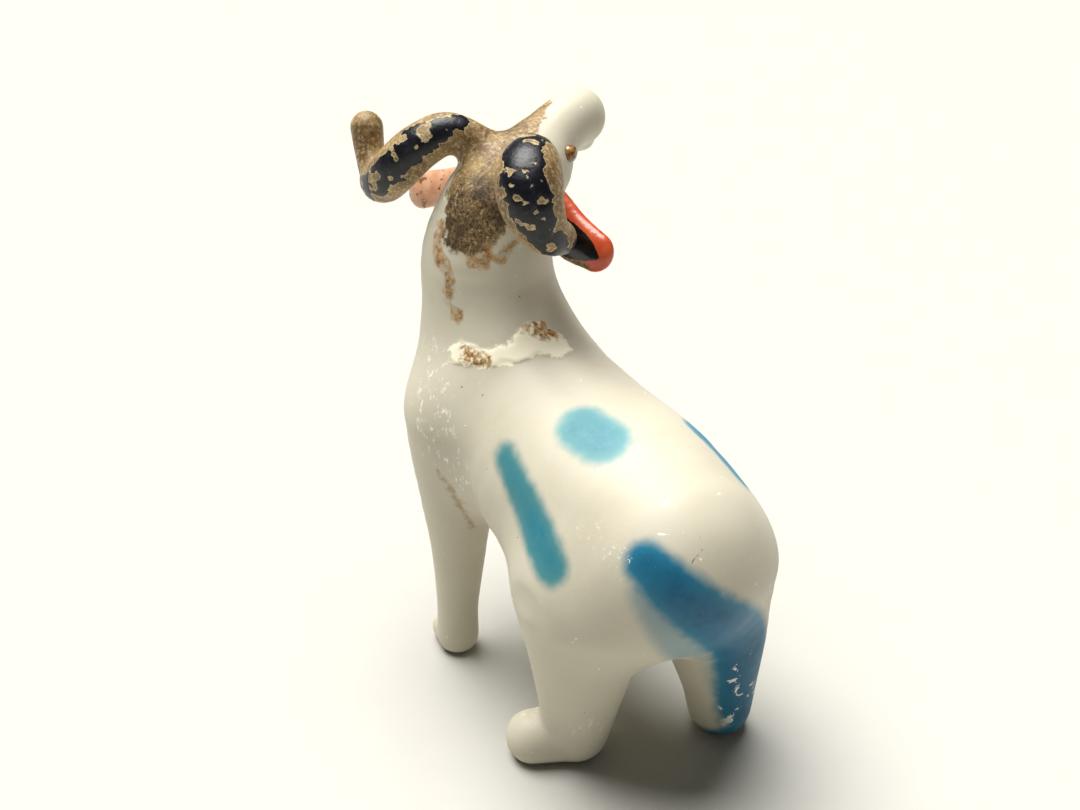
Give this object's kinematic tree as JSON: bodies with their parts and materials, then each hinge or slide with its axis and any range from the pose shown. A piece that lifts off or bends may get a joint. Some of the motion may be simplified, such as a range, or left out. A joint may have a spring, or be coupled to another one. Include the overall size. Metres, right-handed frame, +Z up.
{
  "type": "souvenir figurine",
  "caption": "Small lampworked glass ram standing on four feet, head turned to its right, with curled horns and blue glass patches.",
  "frame": {"origin": "centre of the object's footprint box, on the plane the feet stand on", "axes": "+Z up; the body faces -Y and the animal's left side is +X; the head is turned 70 degrees to the animal's right"},
  "size_m": [0.0371, 0.073, 0.0751],
  "materials": {
    "white_glass": "satin opaque white glass, slightly translucent, rubbed and stained",
    "blue_glass": "blue glass melted flush into the white, satin",
    "horn_glass": "tan and gold paint with flaking black enamel over glass",
    "ear_glass": "glossy orange glass with black and tan paint",
    "eye_glass": "glossy amber glass bead"
  },
  "bodies": {
    "root": {"body": "white_glass", "neck": "white_glass", "head": "white_glass", "lower_lip": "white_glass", "front_left_leg": "white_glass", "front_right_leg": "white_glass", "hind_left_leg": "white_glass", "hind_right_leg": "white_glass", "left_horn": "horn_glass", "right_horn": "horn_glass", "left_ear": "ear_glass", "right_ear": "ear_glass", "left_eye": "eye_glass", "right_eye": "eye_glass", "blue_spot_back": "blue_glass", "blue_streak_left_flank": "blue_glass", "blue_patch_right_flank": "blue_glass", "blue_streak_rump": "blue_glass"}
  },
  "joints": []
}
